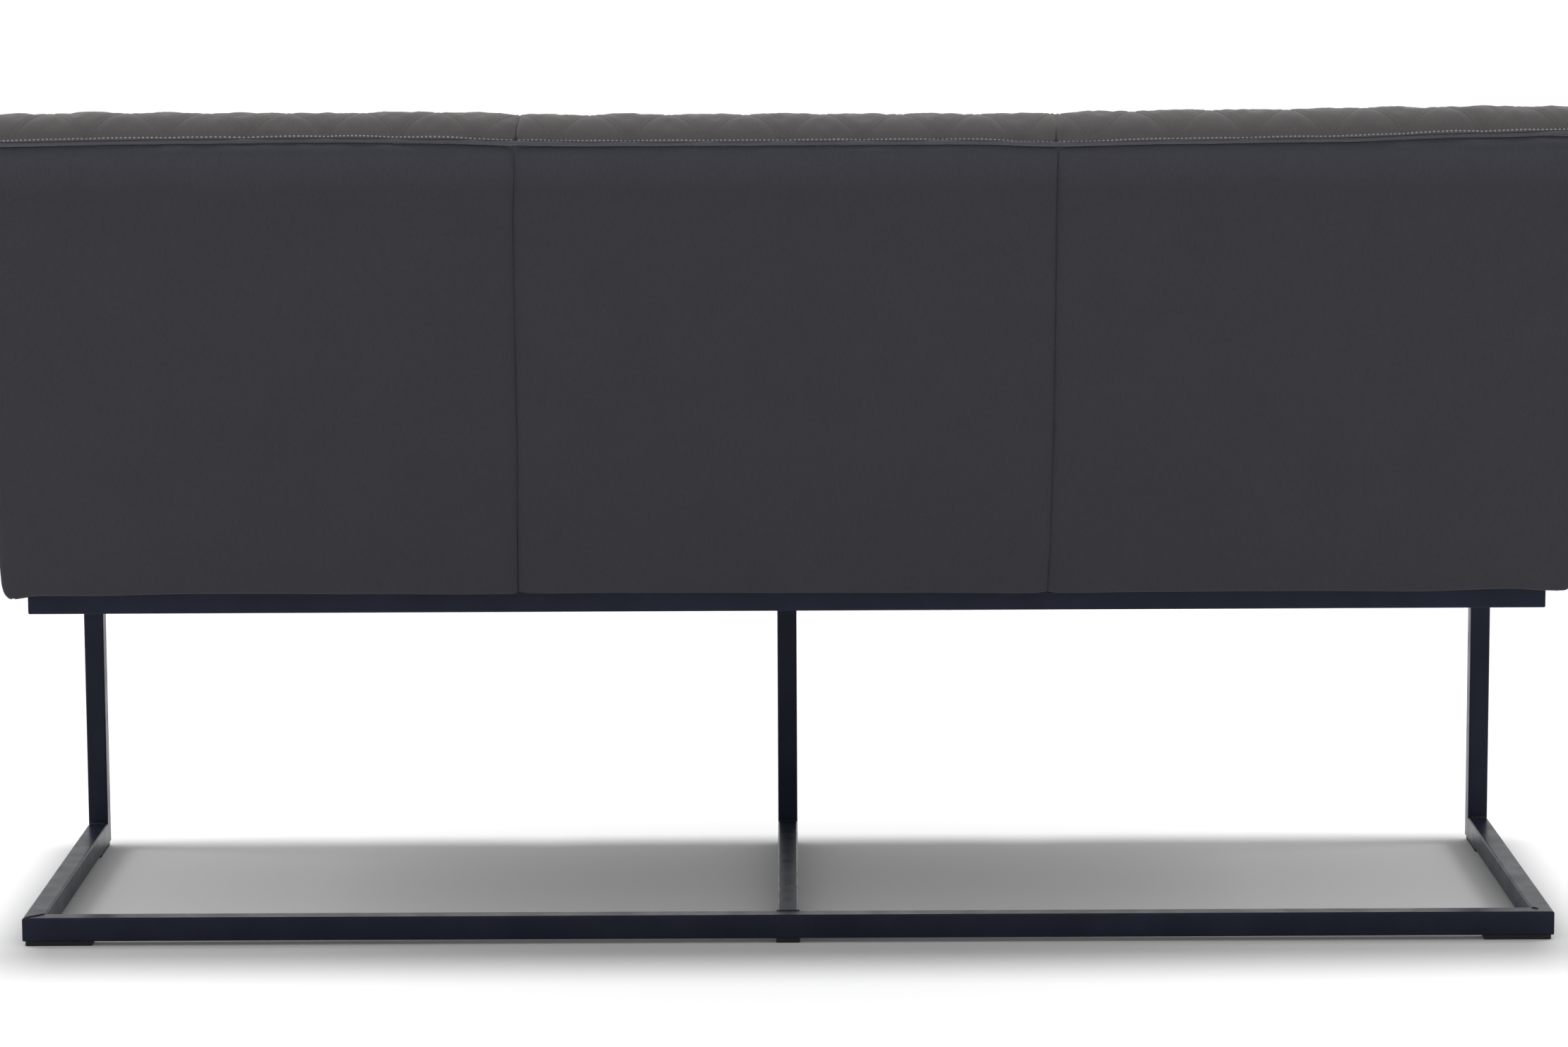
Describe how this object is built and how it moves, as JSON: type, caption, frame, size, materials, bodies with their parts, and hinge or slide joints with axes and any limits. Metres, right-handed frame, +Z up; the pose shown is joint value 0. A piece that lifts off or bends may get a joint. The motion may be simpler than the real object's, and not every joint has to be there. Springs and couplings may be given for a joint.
{
  "type": "dining bench",
  "caption": "Upholstered dining bench with a reclined back, a diamond-quilted seat and inner back, and a welded sled frame of rectangular steel tube.",
  "frame": {"origin": "on the floor, under the middle of the bench's bounding box", "axes": "+Z up, +X along the bench to the right as seen from its front, the sitter faces -Y"},
  "size_m": [1.65, 0.6183, 0.8694],
  "materials": {
    "frame_steel": "black powder coat, satin",
    "glide_plastic": "matt black",
    "zinc_steel": "zinc plated",
    "timber": "sawn, unfinished",
    "webbing": "elastic upholstery webbing",
    "foam": "upholstery foam",
    "quilted_fabric": "taupe-grey velvet, diamond quilted",
    "plain_fabric": "charcoal woven upholstery fabric",
    "piping_fabric": "blue-grey corded piping",
    "dust_cloth": "black non-woven"
  },
  "bodies": {
    "root": {"back_brackets": "zinc_steel", "back_foam_centre": "foam", "back_foam_left": "foam", "back_foam_right": "foam", "back_lower_rails": "timber", "back_post_left": "timber", "back_post_left_end": "timber", "back_post_right": "timber", "back_post_right_end": "timber", "back_quilt_centre": "quilted_fabric", "back_quilt_left": "quilted_fabric", "back_quilt_right": "quilted_fabric", "back_top_rail": "timber", "back_webbing": "webbing", "base_bolts": "zinc_steel", "base_tee_nuts": "zinc_steel", "base_washers": "zinc_steel", "bracket_screws": "zinc_steel", "dust_cover": "dust_cloth", "floor_rear_rail": "frame_steel", "floor_runner_centre": "frame_steel", "floor_runner_left": "frame_steel", "floor_runner_right": "frame_steel", "front_glides": "glide_plastic", "leg_centre": "frame_steel", "leg_left": "frame_steel", "leg_right": "frame_steel", "rear_centre_glide": "glide_plastic", "rear_corner_glides": "glide_plastic", "rear_cover_centre": "plain_fabric", "rear_cover_left": "plain_fabric", "rear_cover_right": "plain_fabric", "seat_bearer_centre": "frame_steel", "seat_bearer_left": "frame_steel", "seat_bearer_right": "frame_steel", "seat_corner_blocks": "timber", "seat_foam_centre": "foam", "seat_foam_left": "foam", "seat_foam_right": "foam", "seat_frame_cross_rail_centre": "timber", "seat_frame_cross_rail_left": "timber", "seat_frame_cross_rail_right": "timber", "seat_frame_end_rail_left": "timber", "seat_frame_end_rail_right": "timber", "seat_frame_front_rail": "timber", "seat_frame_rear_rail": "timber", "seat_front_rail_left": "frame_steel", "seat_front_rail_right": "frame_steel", "seat_quilt_centre": "quilted_fabric", "seat_quilt_left": "quilted_fabric", "seat_quilt_right": "quilted_fabric", "seat_rear_rail": "frame_steel", "seat_webbing": "webbing", "side_cover_back_left": "plain_fabric", "side_cover_back_right": "plain_fabric", "side_cover_seat_left": "plain_fabric", "side_cover_seat_right": "plain_fabric", "top_piping": "piping_fabric"}
  },
  "joints": []
}
